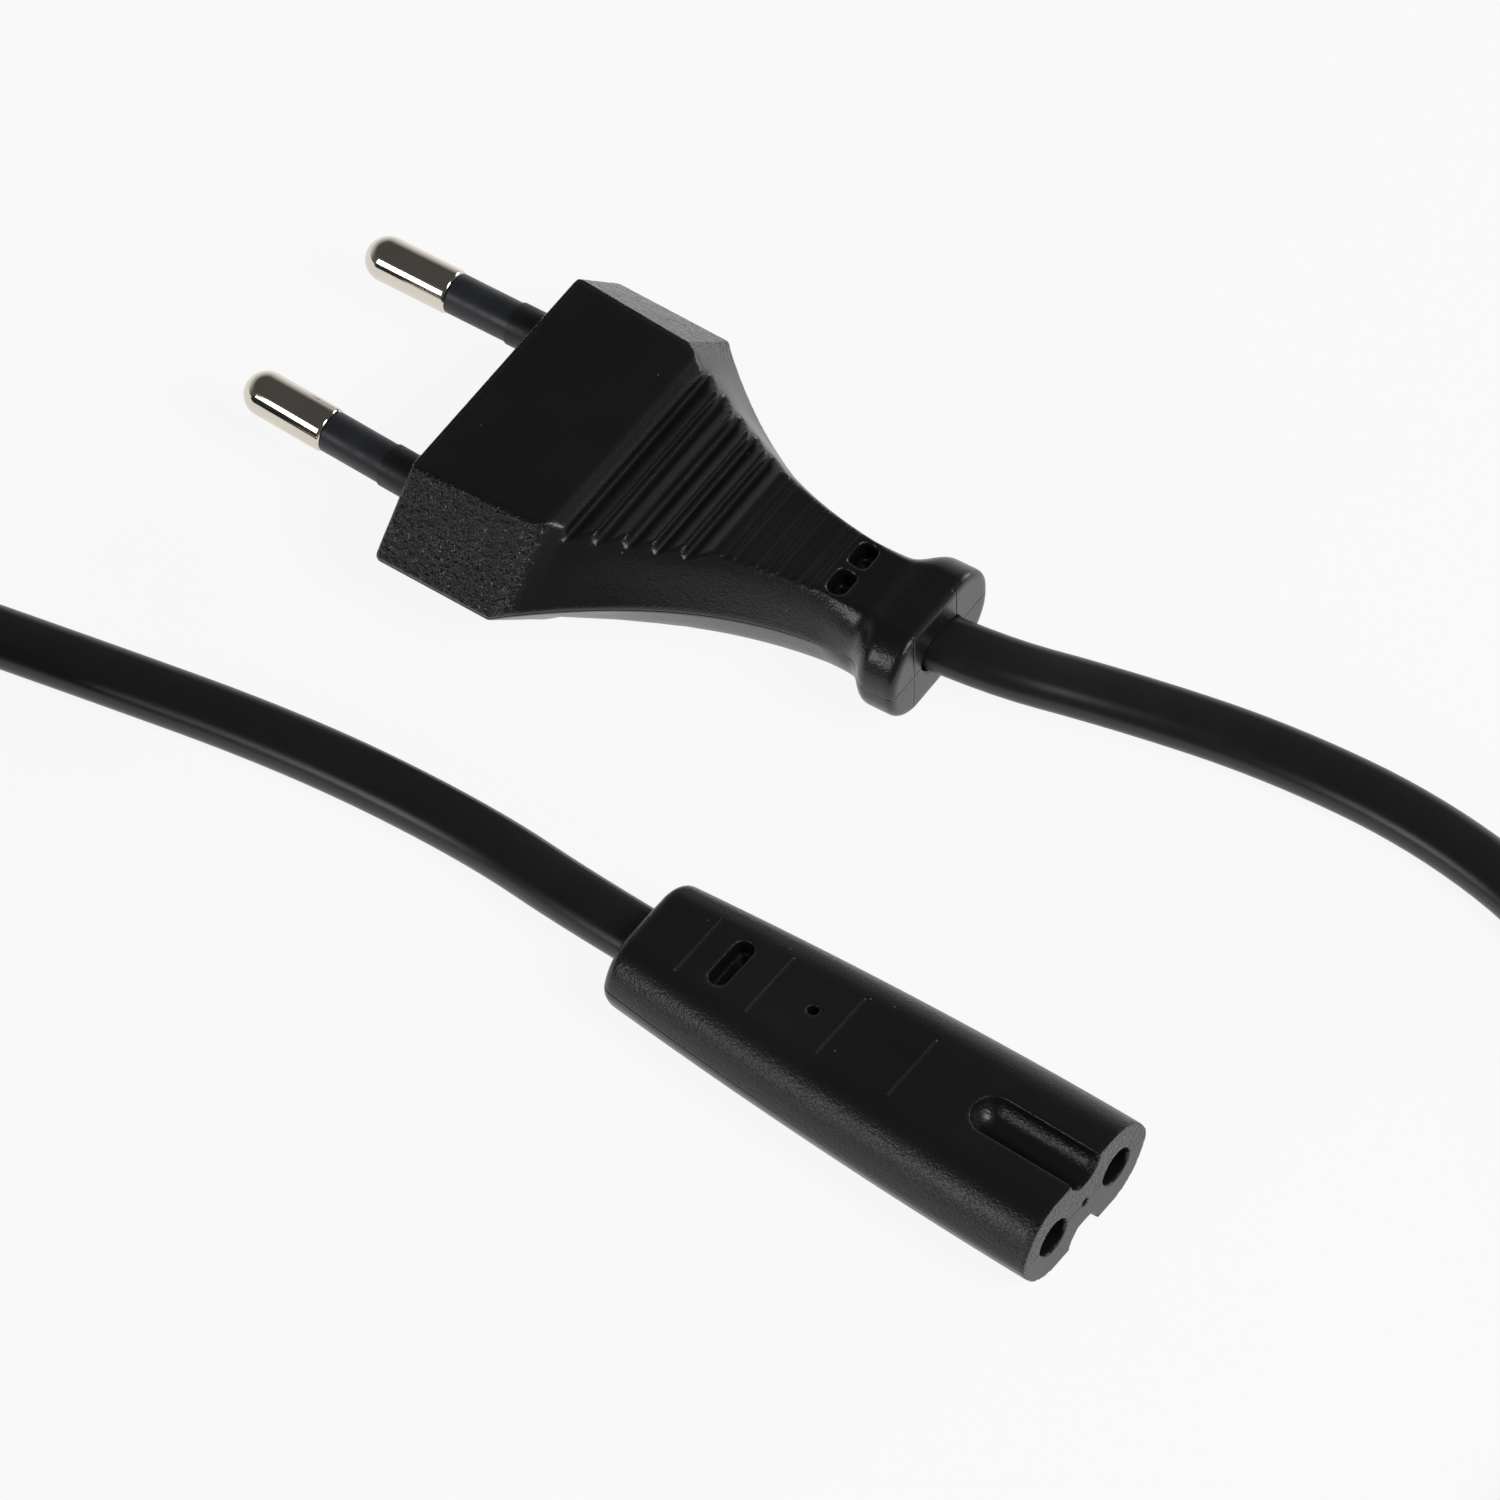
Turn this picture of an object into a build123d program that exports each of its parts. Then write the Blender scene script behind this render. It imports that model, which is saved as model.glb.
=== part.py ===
from build123d import *
import math
import os

os.makedirs("parts", exist_ok=True)

# A mains lead: a moulded two-pin plug, a flat two-core cord and a figure-8 connector.
# Millimetres, +Z up. The lead lies on the floor at Z = 0, and the origin is under the
# middle of the box round its two ends. Each end is modelled along its own X axis:
# the plug from its pin face backwards, the connector from its mating face backwards.

# Plug: the pin block
plug_width = 35.3
plug_height = 13.2
block_length = 11.7
block_top_width = 24.0
block_rear_top_width = 22.8
parting_band = 0.5
face_edge_radius = 0.45

# Plug: the grip behind the block
plug_length = 44.0
grip_start_width = 35.0
neck_width = 10.0
neck_height = 9.0
neck_top_width = 6.4
fold_length = 1.1
ramp_length = 1.4
grip_height = 11.8
grip_side_bulge = 0.13

# Plug: grip grooves, relief window and end collar
groove_count = 5
first_groove = 14.3
groove_pitch = 2.25
groove_depth = 1.0
rib_count = 9
rib_setback = 1.7
rib_pitch = 0.92
rib_depth = 0.18
window_setback = 2.9
window_length = 6.2
window_width = 1.7
window_bridge = 0.8
window_floor_gap = 0.9
flare_length = 2.8
collar_length = 2.8
collar_width = 14.4
collar_height = 9.8
collar_edge_radius = 0.6

# Pins, their sleeves and the bridge that carries them
pin_spacing = 18.6
pin_tip_spacing = 17.5
pin_length = 19.3
pin_radius = 2.0
pin_metal_length = 8.8
shank_radius = 1.3
sleeve_radius = 1.83
boss_radius = 1.95
boss_length = 4.4
bridge_front = 1.6
bridge_length = 8.4
bridge_width = 25.6
bridge_height = 6.6
flange_radius = 1.9
flange_length = 0.8
barrel_radius = 1.4
barrel_length = 5.0

# Cord: two insulated cores side by side in one flat sheath
cord_width = 5.5
cord_thickness = 3.4
core_radius = 1.05
core_spacing = 2.4
strand_radius = 0.55
sheath_in_plug = 10.0
sheath_in_connector = 6.0
turn_out_length = 2.5
turn_in_length = 5.5
core_bend = 5.0
crimp_wall = 0.3
strip_clearance = 0.5
floor_gap = 0.1

# Connector: body
connector_length = 44.0
connector_front_width = 17.0
connector_rear_width = 12.6
connector_height = 9.0
connector_rear_height = 7.8
connector_flat_share = 0.45
connector_side_bulge = 0.19
connector_rear_radius = 1.1
groove_radius = 1.9
groove_run = 11.0
slot_setback = 8.8
slot_length = 5.2
slot_width = 1.7
slot_depth = 1.8
line_count = 4
line_setback = 5.6
line_pitch = 7.1
line_width = 0.4
line_height = 0.18
vent_setback = 17.0
vent_radius = 0.5
vent_depth = 1.2
centre_dot_radius = 0.4
centre_dot_depth = 0.8

# Connector: carrier and its two spring contacts
bore_spacing = 8.6
bore_radius = 1.75
carrier_front = 1.5
carrier_length = 17.5
carrier_lobe_radius = 2.9
carrier_web = 3.2
lip_radius = 1.4
lip_length = 0.5
contact_recess = 3.0
contact_radius = 1.65
contact_bore_radius = 1.2
contact_bore_length = 11.0
contact_length = 12.0
contact_crimp_radius = 1.25
contact_crimp_length = 5.0

# Hank of the spare length, and the tie round its waist
hank_layers = 5
fold_radius = 16.5
fold_offset = 35.25
waist_gap = 0.3
hank_edge_radius = 1.5
hank_entry_angle = 60.0
tie_width = 4.0
tie_thickness = 0.9
tie_clearance = 0.15

# Where things lie: the plug's and the connector's exits, their headings on the floor
# in degrees anticlockwise from +X, and the middle of the hank.
plug_exit = (20.521, 8.421)
plug_heading = -34.2
connector_exit = (-3.269, -19.099)
connector_heading = 143.4
hank_middle = (-78.8, -28.6)

neck_station = plug_length - collar_length - flare_length
window_station = neck_station - window_setback
first_rib = window_station - rib_setback - (rib_count - 1) * rib_pitch
slot_station = connector_length - slot_setback
vent_station = connector_length - vent_setback
first_line = connector_length - line_setback - (line_count - 1) * line_pitch
sheath_rest = cord_thickness / 2 + floor_gap
axis_height = plug_height / 2
connector_axis = connector_height / 2
pin_lean = math.degrees(math.atan((pin_spacing - pin_tip_spacing) / 2 / pin_length))
hank_height = hank_layers * cord_thickness


def save(node, shape):
    """Writes one sub-part as a STEP file named for its node."""
    export_step(shape, f"parts/{node}.step")


def plug_place(shape):
    """Moves a shape from the plug's own frame to where the plug lies."""
    start = Pos(plug_exit[0], plug_exit[1], axis_height) * Rot(0, 0, plug_heading)
    return start * Pos(-plug_length, 0, 0) * shape


def connector_place(shape):
    """Moves a shape from the connector's own frame to where the connector lies."""
    start = Pos(connector_exit[0], connector_exit[1], connector_axis)
    return start * Rot(0, 0, connector_heading) * Pos(-connector_length, 0, 0) * shape


def station(x):
    """A sketch plane across an end's own axis: local X is its width, local Y is up."""
    return Plane(origin=(x, 0, 0), x_dir=(0, 1, 0), z_dir=(1, 0, 0))


def bulged(start, end, share):
    """An arc between two points, bowed away from the axis by a share of its chord."""
    middle = (Vector(*start) + Vector(*end)) / 2
    chord = Vector(*end) - Vector(*start)
    outward = Vector(chord.Y, -chord.X)
    if outward.dot(middle) < 0:
        outward = outward * -1
    top = middle + outward * share
    return ThreePointArc((start[0], start[1]), (top.X, top.Y), (end[0], end[1]))


def moulded_section(x, width, top_width, height, bulge):
    """A flat-topped section with sloping sides that meet at a band on the parting line."""
    w, t, h, b = width / 2, top_width / 2, height / 2, parting_band / 2
    sides = [((w, b), (t, h)), ((-t, h), (-w, b)), ((-w, -b), (-t, -h)), ((t, -h), (w, -b))]
    edges = [bulged(a, c, bulge) if bulge else Line(a, c) for a, c in sides]
    edges += [Line((t, h), (-t, h)), Line((-w, b), (-w, -b))]
    edges += [Line((-t, -h), (t, -h)), Line((w, -b), (w, b))]
    return station(x) * make_face(Wire(edges))


def grip_share(x):
    """How far the grip still is from its neck at a station, as a share from 1 to 0."""
    return (1 - (x - block_length) / (neck_station - block_length)) ** 2


def grip_top(x):
    """Height of the grip over both faces: a fold, a short ramp off it, then a taper."""
    if x <= block_length + fold_length:
        return plug_height
    ramp_end = block_length + fold_length + ramp_length
    along = (x - ramp_end) / (neck_station - ramp_end)
    return grip_height + (neck_height - grip_height) * max(along, 0)


def grip_section(x):
    share = grip_share(x)
    width = neck_width + (grip_start_width - neck_width) * share
    top_width = neck_top_width + (block_rear_top_width - neck_top_width) * share
    bulge = grip_side_bulge * min(1, (x - block_length) / groove_pitch / 3)
    return moulded_section(x, width, top_width, grip_top(x), max(bulge, 0.01))


def pin_block():
    block = loft([
        moulded_section(0, plug_width, block_top_width, plug_height, 0),
        moulded_section(block_length, plug_width, block_rear_top_width, plug_height, 0)])
    rim = block.faces().sort_by(Axis.X)[0].edges()
    return fillet(rim, face_edge_radius)


def grip():
    """The fold behind the block's top face, a ramp, and the taper down to the neck."""
    fold_end = block_length + fold_length
    ramp_end = fold_end + ramp_length
    steps = 4
    reach = neck_station - ramp_end
    stations = [ramp_end + reach * k / steps for k in range(steps + 1)]
    fold = loft([grip_section(block_length), grip_section(fold_end)])
    ramp = loft([grip_section(fold_end), grip_section(ramp_end)])
    return fold + ramp + loft([grip_section(x) for x in stations])


def collar():
    """The round-cornered collar and the smooth flare that runs into it."""
    rise = [0, 0.35, 0.7, 1]
    flare = []
    for t in rise:
        ease = t * t * (3 - 2 * t)
        flare.append(moulded_section(
            neck_station + flare_length * t,
            neck_width + (collar_width - neck_width) * ease,
            neck_top_width + (collar_width / 2 - neck_top_width) * ease,
            neck_height + (collar_height - neck_height) * ease,
            grip_side_bulge + 0.05 * ease))
    end = extrude(flare[-1], plug_length - neck_station - flare_length)
    end = fillet(end.faces().sort_by(Axis.X)[-1].edges(), collar_edge_radius)
    return loft(flare) + end


def both_faces(cutter):
    """A cutter for the top together with its mirror image for the underside."""
    return cutter + mirror(cutter, about=Plane.XY)


def grip_grooves():
    """Saw-tooth grooves across the grip: a steep front wall and a floor that rises back."""
    cuts = []
    for k in range(groove_count):
        x = first_groove + groove_pitch * k
        high = grip_top(x) / 2
        behind = grip_top(x + groove_pitch) / 2
        profile = make_face(Polyline(
            (x - 0.25, high + groove_depth), (x, high - groove_depth),
            (x + groove_pitch * 0.9, behind), (x + groove_pitch * 0.9, high + groove_depth),
            close=True))
        cuts.append(extrude(Plane.XZ * profile, plug_width, both=True))
    for k in range(rib_count):
        x = first_rib + rib_pitch * k
        surface = grip_top(x) / 2
        tool = Rot(90, 0, 0) * Cylinder(rib_pitch / 2, plug_width)
        cuts.append(Pos(x, 0, surface + rib_pitch / 2 - rib_depth) * tool)
    return both_faces(Part() + cuts)


def relief_window():
    """An obround window over the cord, split by a bridge along the axis."""
    floor = cord_thickness / 2 + window_floor_gap
    shape = SlotOverall(window_length, window_width, rotation=90)
    shape -= Rectangle(window_width * 2, window_bridge)
    return both_faces(extrude(Plane.XY.offset(floor) * Pos(window_station, 0) * shape, plug_height))


def pin_frame(side, shape):
    """Places a shape that is modelled along -X onto one pin's leaning axis."""
    return Pos(0, side * pin_spacing / 2, 0) * Rot(0, 0, side * pin_lean) * shape


def along_x(radius, start, end):
    """A cylinder on the X axis from start to end."""
    length = end - start
    return Pos((start + end) / 2, 0, 0) * Rot(0, 90, 0) * Cylinder(radius, length)


bridge_end = bridge_front + bridge_length
barrel_end = bridge_end + flange_length + barrel_length


def pin(side):
    """One pin turned from rod: round-ended tip, shank, flange and crimp barrel."""
    shoulder = -(pin_length - pin_metal_length)
    metal = along_x(pin_radius, -pin_length + pin_radius, shoulder)
    metal += Pos(-pin_length + pin_radius, 0, 0) * Sphere(pin_radius)
    metal += along_x(shank_radius, shoulder, bridge_end)
    metal += along_x(flange_radius, bridge_end, bridge_end + flange_length)
    metal += along_x(barrel_radius, bridge_end + flange_length, barrel_end)
    metal -= along_x(strand_radius, bridge_end + flange_length, barrel_end)
    return pin_frame(side, metal)


def sleeve(side):
    """The insulating sleeve between the pin's metal end and the boss at its foot."""
    shoulder = -(pin_length - pin_metal_length)
    tube = along_x(sleeve_radius, shoulder, -boss_length)
    return pin_frame(side, tube - along_x(shank_radius, shoulder, -boss_length))


def bridge():
    """The hard bar that holds both pins, with a round boss at the foot of each."""
    bar = Pos(bridge_front + bridge_length / 2, 0, 0) * Box(
        bridge_length, bridge_width, bridge_height)
    bar = fillet(bar.edges().filter_by(Axis.X), bridge_height / 4)
    for side in (-1, 1):
        bar += pin_frame(side, along_x(boss_radius, -boss_length, bridge_front + 1))
    for side in (-1, 1):
        bar -= pin(side)
    return bar


def core_path(side):
    """A core's way from its crimp barrel in to its place in the flat sheath."""
    lean = math.radians(pin_lean)

    def on_axis(x):
        return (x * math.cos(lean), side * (pin_spacing / 2 + x * math.sin(lean)), 0)

    crimp = on_axis(bridge_end + flange_length)
    out = on_axis(barrel_end + turn_out_length)
    sheath = plug_length - sheath_in_plug
    place = side * core_spacing / 2
    return FilletPolyline(
        crimp, out, (sheath - turn_in_length, place, 0), (sheath, place, 0), radius=core_bend)


def round_tube(path, radius):
    start = path @ 0
    return sweep(Plane(origin=start, z_dir=path % 0) * Circle(radius), path=path)


def plug_wire(side):
    """One core's copper strands, crimped in the barrel, and its insulation."""
    path = core_path(side)
    strands = round_tube(path, strand_radius)
    clear = pin_frame(side, along_x(barrel_radius + strip_clearance, 0, barrel_end))
    return strands, round_tube(path, core_radius) - clear - strands


def connector_half_width(x):
    """Half the connector's width at a distance from its front face."""
    share = (x / connector_length) ** 2
    return (connector_front_width + (connector_rear_width - connector_front_width) * share) / 2


def connector_top(x):
    """Height of the connector's top face over its axis at a distance from its front face."""
    share = (x / connector_length) ** 2
    return (connector_height + (connector_rear_height - connector_height) * share) / 2


def connector_section(x, inset=0):
    """The connector's section at a station, drawn in all round by an inset."""
    width = 2 * connector_half_width(x)
    return moulded_section(
        x, width - 2 * inset, width * connector_flat_share - inset,
        2 * (connector_top(x) - inset), connector_side_bulge)


def connector_shell():
    """The tapering outer moulding with its finger grooves, slot, lines and vent."""
    steps = 3
    reach = connector_length - connector_rear_radius
    body = loft([connector_section(reach * k / steps) for k in range(steps + 1)])
    rounding = [math.radians(angle) for angle in (0, 35, 65, 90)]
    body += loft([
        connector_section(reach + connector_rear_radius * math.sin(a),
                          connector_rear_radius * (1 - math.cos(a))) for a in rounding])
    groove = along_x(groove_radius, -1, groove_run - groove_radius)
    groove += Pos(groove_run - groove_radius, 0, 0) * Sphere(groove_radius)
    body -= both_faces(Pos(0, 0, connector_height / 2) * groove)
    slot = Pos(slot_station, 0) * SlotOverall(slot_length, slot_width, rotation=90)
    slot_floor = connector_top(slot_station) - slot_depth
    body -= both_faces(extrude(Plane.XY.offset(slot_floor) * slot, connector_height))
    for k in range(line_count):
        x = first_line + line_pitch * k
        length = 2 * connector_half_width(x) * connector_flat_share
        body += Pos(x, 0, connector_top(x)) * Box(line_width, length, 2 * line_height)
    vent_top = connector_top(vent_station)
    body -= Pos(vent_station, 0, vent_top) * Cylinder(vent_radius, 2 * vent_depth)
    body -= along_x(centre_dot_radius, -1, centre_dot_depth)
    return body


carrier_end = carrier_front + carrier_length


def carrier_blank():
    """The figure-8 block inside the front of the connector, without its holes."""
    blank = extrude(station(carrier_front) * Rectangle(bore_spacing, carrier_web), carrier_length)
    for side in (-1, 1):
        blank += Pos(0, side * bore_spacing / 2, 0) * along_x(
            carrier_lobe_radius, carrier_front, carrier_end)
    return blank


def carrier():
    """The hard carrier: a lead-in, a retaining lip and a seat for each contact."""
    block = carrier_blank()
    lip_start = contact_recess - lip_length
    for side in (-1, 1):
        hole = along_x(bore_radius, 0, lip_start) + along_x(lip_radius, 0, contact_recess)
        hole += along_x(contact_radius, contact_recess, carrier_end + 1)
        block -= Pos(0, side * bore_spacing / 2, 0) * hole
    return block


def contact(side):
    """One brass socket: a bored front end and a crimp barrel behind it."""
    front = contact_recess
    foot = front + contact_length
    end = foot + contact_crimp_length
    body = along_x(contact_radius, front, foot) + along_x(contact_crimp_radius, foot, end)
    body -= along_x(contact_bore_radius, front, front + contact_bore_length)
    body -= along_x(strand_radius, foot + crimp_wall, end)
    return Pos(0, side * bore_spacing / 2, 0) * body


contact_end = contact_recess + contact_length + contact_crimp_length


def connector_wire(side):
    """One core's strands and insulation between its contact and the sheath."""
    across = side * bore_spacing / 2
    sheath = connector_length - sheath_in_connector
    place = side * core_spacing / 2
    path = FilletPolyline(
        (contact_recess + contact_length + crimp_wall, across, 0),
        (contact_end + turn_out_length, across, 0),
        (sheath - turn_in_length, place, 0), (sheath, place, 0), radius=core_bend)
    strands = round_tube(path, strand_radius)
    clear = Pos(0, across, 0) * along_x(contact_crimp_radius + strip_clearance, 0, contact_end)
    return strands, round_tube(path, core_radius) - clear - strands


def flat_section(plane):
    """The cord's flat oval section on a plane whose X axis is level."""
    return plane * SlotOverall(cord_width, cord_thickness)


def cord_run(points, share=0.45):
    """A flat tube along straight runs and the largest tangent arcs that they allow."""
    route = [Vector(*p) for p in points]
    radii = []
    for before, here, after in zip(route, route[1:], route[2:]):
        turn = (here - before).get_angle(after - here)
        run = min((here - before).length, (after - here).length)
        radii.append(share * run / math.tan(math.radians(turn / 2)))
    path = FilletPolyline(*route, radius=radii)
    first = (route[1] - route[0]).normalized()
    level = Vector(0, 0, 1).cross(first)
    face = flat_section(Plane(origin=route[0], x_dir=level, z_dir=first))
    tube = sweep(face, path=path)
    print("radii", [round(r, 1) for r in radii], "length", round(path.length, 1),
          "volume over section times length", round(tube.volume / (face.area * path.length), 4))
    return tube


def plug_side_route():
    """Out of the plug, off the right of the picture and back along the front to the hank."""
    heading = math.radians(plug_heading)

    def off_exit(distance, z):
        return (plug_exit[0] + distance * math.cos(heading),
                plug_exit[1] + distance * math.sin(heading), z)

    leaving = hank_middle[1] - fold_offset - fold_radius
    return [
        off_exit(-sheath_in_plug, axis_height), off_exit(2.5, axis_height),
        (35.7, 6.5, 3.4), (48.8, 2.4, sheath_rest), (61.3, -5.8, sheath_rest),
        (71.7, -16.3, sheath_rest), (77.7, -30.8, sheath_rest), (78.7, -48.8, sheath_rest),
        (74.2, -65.8, sheath_rest), (62.7, -78.8, sheath_rest), (46.2, -83.8, sheath_rest),
        (26.2, -82.8, sheath_rest), (5.2, -80.3, sheath_rest), (-15.8, -81.3, sheath_rest),
        (-36.8, -79.8, 3.2), (-56.8, -81.0, 9.2),
        (hank_middle[0], leaving, hank_height - sheath_rest)]


def connector_side_route():
    """Out of the connector, off the left of the picture and into the hank."""
    heading = math.radians(connector_heading)

    def off_exit(distance, z):
        return (connector_exit[0] + distance * math.cos(heading),
                connector_exit[1] + distance * math.sin(heading), z)

    entry = math.radians(hank_entry_angle)
    return [
        off_exit(-sheath_in_connector, connector_axis), off_exit(5.5, connector_axis),
        (-17.1, -7.1, sheath_rest), (-31.8, 2.5, sheath_rest), (-50.5, 10.4, sheath_rest),
        (hank_middle[0] + fold_radius * math.cos(entry),
         hank_middle[1] + fold_offset + fold_radius * math.sin(entry), sheath_rest)]


def hank_outline(grow):
    """The folded turns' middle line, moved outwards by grow, as a face of four tangent arcs."""
    waist = (cord_width + waist_gap) / 2
    side_radius = ((waist ** 2 + fold_offset ** 2 - fold_radius ** 2)
                   / (2 * (fold_radius - waist)))
    centre = waist + side_radius
    lean = math.atan2(fold_offset, centre)
    fold, side = fold_radius + grow, side_radius - grow
    x, y = centre - side * math.cos(lean), side * math.sin(lean)
    reach = centre - side
    return make_face(Wire([
        ThreePointArc((x, y), (0, fold_offset + fold), (-x, y)),
        ThreePointArc((-x, y), (-reach, 0), (-x, -y)),
        ThreePointArc((-x, -y), (0, -fold_offset - fold), (x, -y)),
        ThreePointArc((x, -y), (reach, 0), (x, y))]))


def hank():
    """The folded turns as one solid: two loops that a tie draws together at the waist."""
    half = cord_width / 2
    ring = extrude(hank_outline(half) - hank_outline(-half), hank_height)
    rims = ring.faces().sort_by(Axis.Z)[-1].edges() + ring.faces().sort_by(Axis.Z)[0].edges()
    ring = fillet(rims, hank_edge_radius)
    gap = tie_width + 2 * tie_clearance
    notch = tie_thickness + tie_clearance
    ring -= Pos(0, 0, notch / 2) * Box(4 * cord_width, gap, notch)
    return Pos(*hank_middle, 0) * ring


def tie():
    """A flat tie that goes once round the waist, with its head on top."""
    inner_width = 2 * cord_width + waist_gap + 2 * tie_clearance
    inner_height = hank_height + tie_clearance - tie_thickness
    outer = Box(inner_width + 2 * tie_thickness, tie_width, inner_height + 2 * tie_thickness)
    outer = fillet(outer.edges().filter_by(Axis.Y), 2 * tie_thickness)
    inner = Box(inner_width, tie_width * 2, inner_height)
    inner = fillet(inner.edges().filter_by(Axis.Y), tie_thickness / 3)
    middle = tie_thickness + inner_height / 2
    return Pos(hank_middle[0], hank_middle[1], middle) * (outer - inner)


def up_to_hank(tube):
    """The stretch of a tube that lies outside the hank, ending against its wall."""
    inside = Pos(*hank_middle, 0) * extrude(hank_outline(cord_width / 2), hank_height)
    return (tube - inside).solids().sort_by(SortBy.VOLUME)[-1]


plug_side = cord_run(plug_side_route())
connector_side = cord_run(connector_side_route())

pins = {side: pin(side) for side in (-1, 1)}
sleeves = {side: sleeve(side) for side in (-1, 1)}
bridge_solid = bridge()
wires = {side: plug_wire(side) for side in (-1, 1)}
plug_body = pin_block() + grip() + collar() - grip_grooves() - relief_window()
plug_body -= bridge_solid
for side in (-1, 1):
    plug_body -= pins[side]
    plug_body -= wires[side][0] + wires[side][1]

contacts = {side: contact(side) for side in (-1, 1)}
connector_wires = {side: connector_wire(side) for side in (-1, 1)}
connector_body = connector_shell() - carrier_blank()
for side in (-1, 1):
    connector_body -= Pos(0, side * bore_spacing / 2, 0) * along_x(bore_radius, -1, carrier_front)
    connector_body -= contacts[side]
    connector_body -= connector_wires[side][0] + connector_wires[side][1]

ends = {-1: "near", 1: "far"}
colours = {-1: "blue", 1: "brown"}
save("plug_body", plug_place(plug_body) - plug_side)
save("plug_bridge", plug_place(bridge_solid))
for side in (-1, 1):
    save(f"pin_{ends[side]}", plug_place(pins[side]))
    save(f"pin_sleeve_{ends[side]}", plug_place(sleeves[side]))
    save(f"plug_core_{colours[side]}", plug_place(wires[side][1]))
    save(f"plug_strands_{colours[side]}", plug_place(wires[side][0]))
save("connector_body", connector_place(connector_body) - connector_side)
save("connector_carrier", connector_place(carrier()))
for side in (-1, 1):
    other = -side
    save(f"contact_{ends[side]}", connector_place(contacts[other]))
    save(f"connector_core_{colours[side]}", connector_place(connector_wires[other][1]))
    save(f"connector_strands_{colours[side]}", connector_place(connector_wires[other][0]))
save("cord_plug_side", up_to_hank(plug_side))
save("cord_connector_side", up_to_hank(connector_side))
save("cord_hank", hank())
save("cord_tie", tie())
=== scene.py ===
"""A black mains lead: moulded flat plug, flat two-core cord and figure-8 connector."""
import math

import bmesh
import bpy
from bpy.props import FloatProperty, IntProperty, PointerProperty, StringProperty
from mathutils import Matrix, Vector


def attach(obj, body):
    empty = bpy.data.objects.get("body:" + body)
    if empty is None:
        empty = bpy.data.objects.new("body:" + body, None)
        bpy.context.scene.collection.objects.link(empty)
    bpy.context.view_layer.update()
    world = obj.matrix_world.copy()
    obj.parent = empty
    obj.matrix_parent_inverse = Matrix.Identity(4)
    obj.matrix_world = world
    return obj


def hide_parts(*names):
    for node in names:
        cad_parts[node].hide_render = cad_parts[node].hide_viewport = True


bl_info = {
    "name": "Mains lead",
    "version": (1, 0, 0),
    "blender": (4, 5, 0),
    "location": "3D View > Sidebar > Mains lead",
    "description": "Dresses a mains lead with its mouldings, pins, cord and studio",
    "category": "Object",
}

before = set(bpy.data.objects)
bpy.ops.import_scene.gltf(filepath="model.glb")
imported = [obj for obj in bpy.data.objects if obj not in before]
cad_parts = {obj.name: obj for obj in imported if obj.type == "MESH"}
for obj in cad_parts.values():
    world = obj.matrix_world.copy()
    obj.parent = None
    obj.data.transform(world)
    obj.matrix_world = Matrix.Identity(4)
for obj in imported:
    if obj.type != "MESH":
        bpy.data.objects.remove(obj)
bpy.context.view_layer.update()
mm = 0.001

# All sizes below are in millimetres, as in the part's source.
# The lead as it lies: both exits, their headings and the spare length's hank
plug_exit = Vector((20.521, 8.421, 6.6))
plug_heading = math.radians(-34.2)
connector_exit = Vector((-3.269, -19.099, 4.5))
connector_heading = math.radians(143.4)
plug_length = 44.0
connector_length = 44.0
hank_middle = Vector((-78.8, -28.6, 0.0))
fold_radius = 16.5
fold_offset = 35.25
waist_half_gap = 2.9
weld = 0.002 * mm   # a CAD node's mesh is loose triangles; corners nearer than this are one

# The pins: their spacing at the plug's face and at the tips, their length and bare metal
pin_spacing, pin_tip_spacing = 18.6, 17.5
pin_length, pin_metal_length, pin_radius = 19.3, 8.8, 2.0
pin_shoulder = 0.4

# Sections of the two mouldings: stations from the front, half widths and heights, and how far
# the sides bow as a share of their chord
block_length, ramp_end, neck_station = 11.7, 14.2, 38.4
grip_start_half, grip_start_top_half = 17.5, 11.4
neck_half, neck_top_half, neck_half_height = 5.0, 3.2, 4.5
grip_half_height = 5.9
grip_bulge, bulge_run = 0.13, 6.75
connector_front_half, connector_rear_half, connector_flat_share = 8.5, 6.3, 0.45
connector_top_front, connector_top_rear = 4.5, 3.9
connector_bulge = 0.19
half_band = 0.25

# What the soft mouldings do once they are out of the tool: how flat the sides have drawn, how
# far the grip leans to its far side, and how the connector's slim rear has settled and shrunk
grip_draw, connector_draw = 0.7, 0.1
lean_start, lean_at_block, lean_at_collar = 11.0, -0.2, 0.85
settle_depth, settle_shrink = 0.55, 0.025

# Hairlines: the core block's edges on the collar's end face, and the lines across the connector
core_block_half = 3.1
first_line, line_pitch, line_count = 17.1, 7.1, 4
line_half, line_margin, line_lowest = 3.2, 1.0, 2.5


def linear(colour):
    """An sRGB hex colour as the linear values that shaders take."""
    parts = [int(colour[i:i + 2], 16) / 255 for i in (1, 3, 5)]
    return [c / 12.92 if c <= 0.04045 else ((c + 0.055) / 1.055) ** 2.4 for c in parts] + [1.0]


def add_node(tree, kind, settings=None, links=None):
    """Adds a node, sets its properties and input values, and links its inputs."""
    node = tree.nodes.new(kind)
    for key, value in (settings or {}).items():
        if isinstance(key, int) or key in node.inputs:
            node.inputs[key].default_value = value
        else:
            setattr(node, key, value)
    for key, source in (links or {}).items():
        tree.links.new(source, node.inputs[key])
    return node


def new_material(name):
    """A node material with only its shader and output: the tree, the shader and the material."""
    material = bpy.data.materials.new(name)
    material.use_nodes = True
    tree = material.node_tree
    tree.nodes.clear()
    shader = add_node(tree, "ShaderNodeBsdfPrincipled")
    add_node(tree, "ShaderNodeOutputMaterial", links={"Surface": shader.outputs["BSDF"]})
    return tree, shader, material


def object_place(tree):
    return add_node(tree, "ShaderNodeTexCoord").outputs["Object"]


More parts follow.
